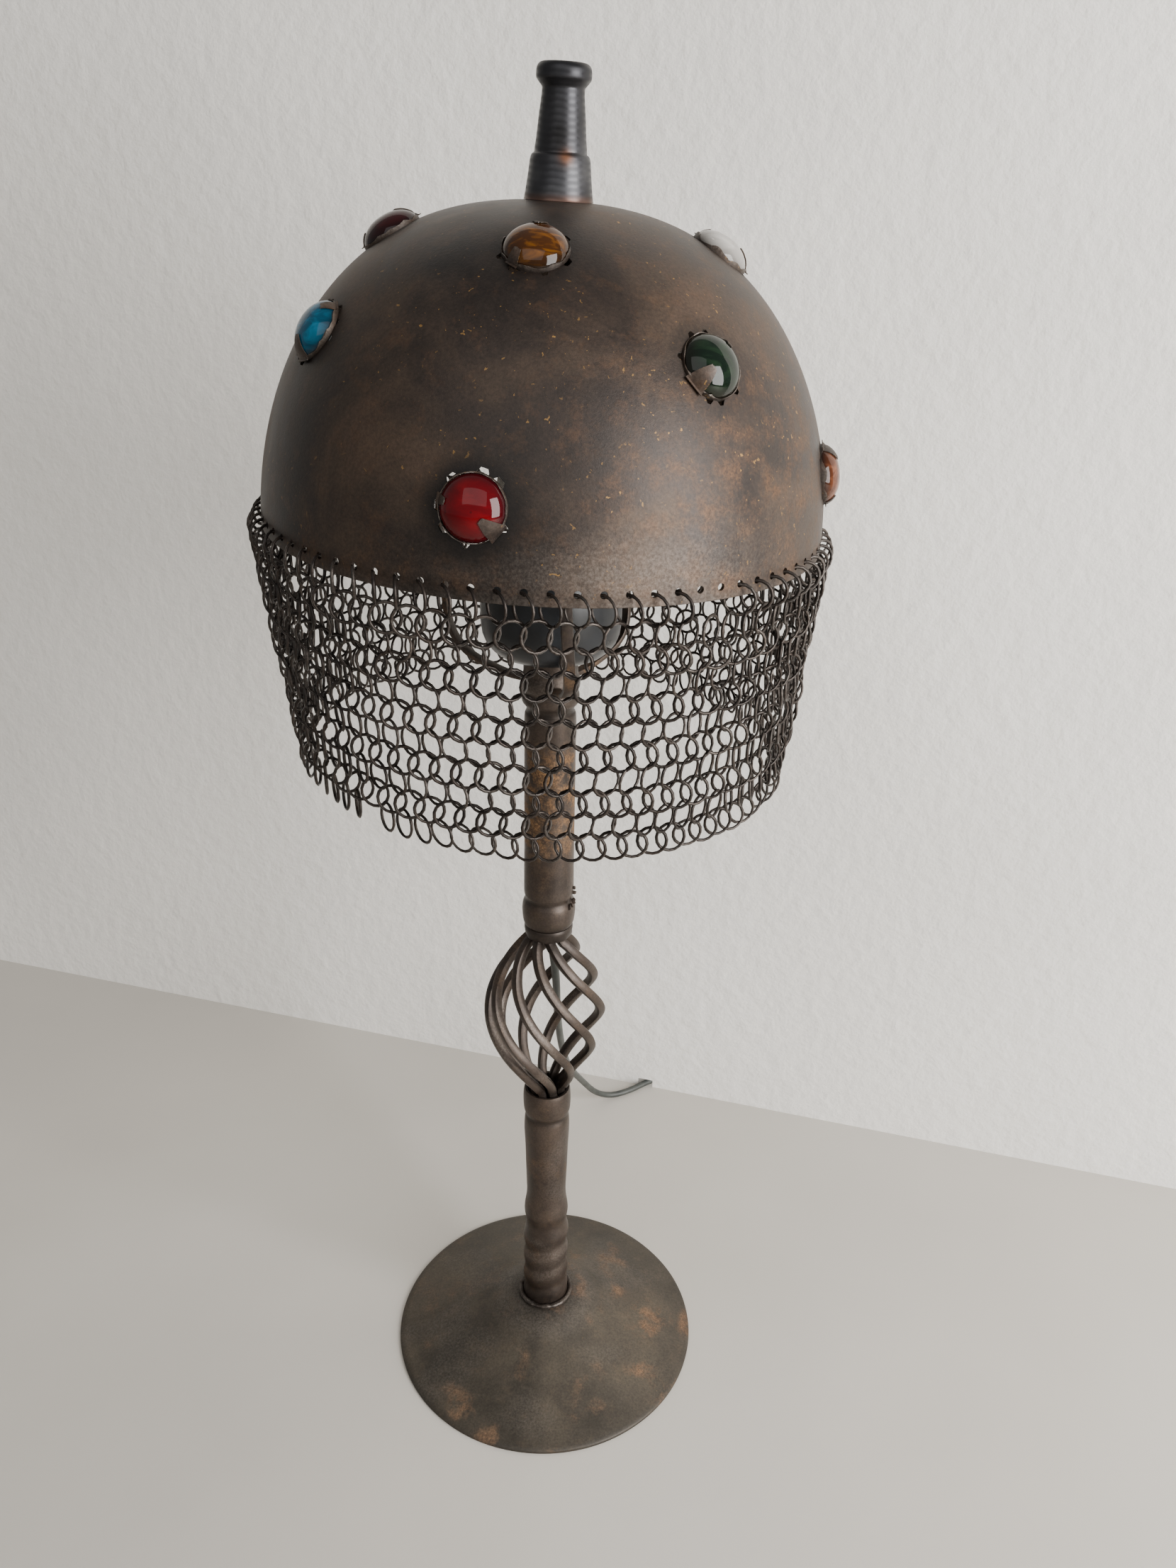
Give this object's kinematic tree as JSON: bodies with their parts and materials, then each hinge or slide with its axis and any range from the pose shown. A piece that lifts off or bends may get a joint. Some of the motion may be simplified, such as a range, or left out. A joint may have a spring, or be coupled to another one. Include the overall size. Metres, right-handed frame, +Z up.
{
  "type": "knight helmet table lamp",
  "caption": "Wrought-iron table lamp with a knight's-helmet shade: round skull set with glass cabochons, mail skirt, twisted basket stem and dished base.",
  "frame": {"origin": "on the stem's axis, at the surface the base stands on", "axes": "+Z up along the stem; -Y is the front, where the helmet leans a little; +X is the viewer's right"},
  "size_m": [0.246, 0.3992, 0.6087],
  "materials": {
    "oxidised_iron": "hammered sheet, oxidised brown and waxed, with rust specks",
    "waxed_iron": "wrought bar and tube, brown oxide under wax",
    "turned_steel": "lathe-turned, blued, semi-gloss",
    "iron_wire": "drawn wire, dark oxide",
    "black_enamel": "black, semi-gloss",
    "zinc_steel": "zinc plated",
    "bulb_glass": "frosted glass",
    "cord_sheath": "extruded flex sheath",
    "plug_plastic": "moulded",
    "pin_brass": "turned, bright",
    "glass_red": "polished cabochon",
    "glass_amber": "polished cabochon",
    "glass_green": "polished cabochon",
    "glass_blue": "polished cabochon",
    "glass_clear": "polished cabochon"
  },
  "bodies": {
    "stand": {"base_dish": "oxidised_iron", "base_weld_ring": "turned_steel", "lower_stem": "waxed_iron", "basket_bar_1": "waxed_iron", "basket_bar_2": "waxed_iron", "basket_bar_3": "waxed_iron", "basket_bar_4": "waxed_iron", "basket_bar_5": "waxed_iron", "basket_bar_6": "waxed_iron", "basket_bar_7": "waxed_iron", "basket_bar_8": "waxed_iron", "basket_collar": "waxed_iron", "upper_tube": "waxed_iron", "stem_bush": "zinc_steel", "holder_cup": "black_enamel", "holder_nipple": "zinc_steel", "lampholder": "black_enamel", "cord_grommet": "black_enamel", "inner_flex": "cord_sheath", "harp_strap_front": "waxed_iron", "harp_strap_left": "waxed_iron", "harp_strap_rear": "waxed_iron", "harp_crown": "waxed_iron", "harp_nut": "zinc_steel", "harp_stud": "zinc_steel", "cord_run": "cord_sheath", "cord_coil": "cord_sheath", "cord_tail": "cord_sheath", "plug_body": "plug_plastic", "plug_pin_1": "pin_brass", "plug_pin_2": "pin_brass"},
    "helmet": {"helmet_skull": "oxidised_iron", "mail_skirt": "iron_wire", "gem_low_1_red": "glass_red", "gem_low_2_amber": "glass_amber", "gem_low_3_blue": "glass_blue", "gem_low_4_green": "glass_green", "gem_middle_1_blue": "glass_blue", "gem_middle_2_green": "glass_green", "gem_middle_3_amber": "glass_amber", "gem_middle_4_red": "glass_red", "gem_high_1_amber": "glass_amber", "gem_high_2_clear": "glass_clear", "gem_high_3_green": "glass_green", "gem_high_4_red": "glass_red"},
    "finial": {"plume_holder": "turned_steel"},
    "bulb": {"bulb_cap": "zinc_steel", "bulb_glass": "bulb_glass"}
  },
  "joints": [
    {"name": "helmet_turn", "type": "hinge", "parent": "stand", "child": "helmet", "pos_m": [-0.0032, 0, 0.4489], "axis": [0.039, -0.0234, 0.999], "continuous": true},
    {"name": "finial_unscrew", "type": "hinge", "parent": "stand", "child": "finial", "pos_m": [-0.0032, 0, 0.4489], "axis": [0.039, -0.0234, 0.999], "continuous": true},
    {"name": "bulb_unscrew", "type": "hinge", "parent": "stand", "child": "bulb", "pos_m": [0, 0, 0.43], "axis": [0, 0, 1], "continuous": true}
  ]
}
